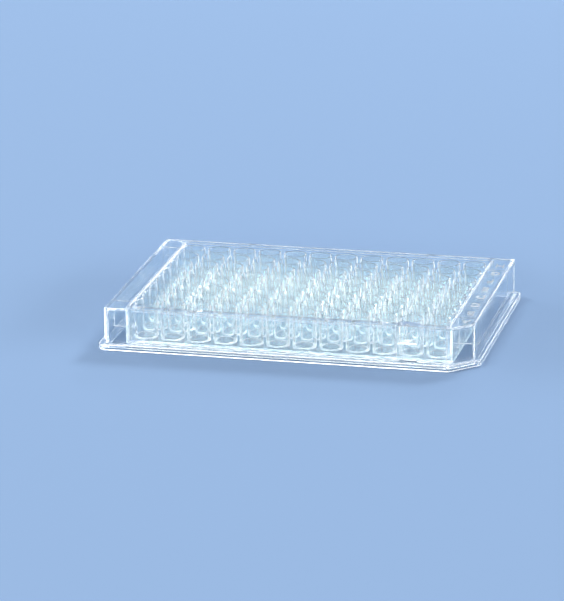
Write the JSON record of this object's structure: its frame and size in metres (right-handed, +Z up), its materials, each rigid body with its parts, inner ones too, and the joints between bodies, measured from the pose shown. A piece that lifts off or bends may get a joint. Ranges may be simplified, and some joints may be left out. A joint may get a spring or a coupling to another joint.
{
  "type": "well plate",
  "caption": "Clear rectangular lab microplate with a grid of round flat-bottomed wells, a stepped flange and one chamfered corner.",
  "frame": {"origin": "middle of the footprint, on the surface that the flange stands on", "axes": "+X along the long side from column 1 to column 12, +Y from row H to row A, +Z up"},
  "size_m": [0.1278, 0.0854, 0.0142],
  "materials": {
    "clear_plastic": "gloss"
  },
  "bodies": {
    "root": {"plate": "clear_plastic"}
  },
  "joints": []
}
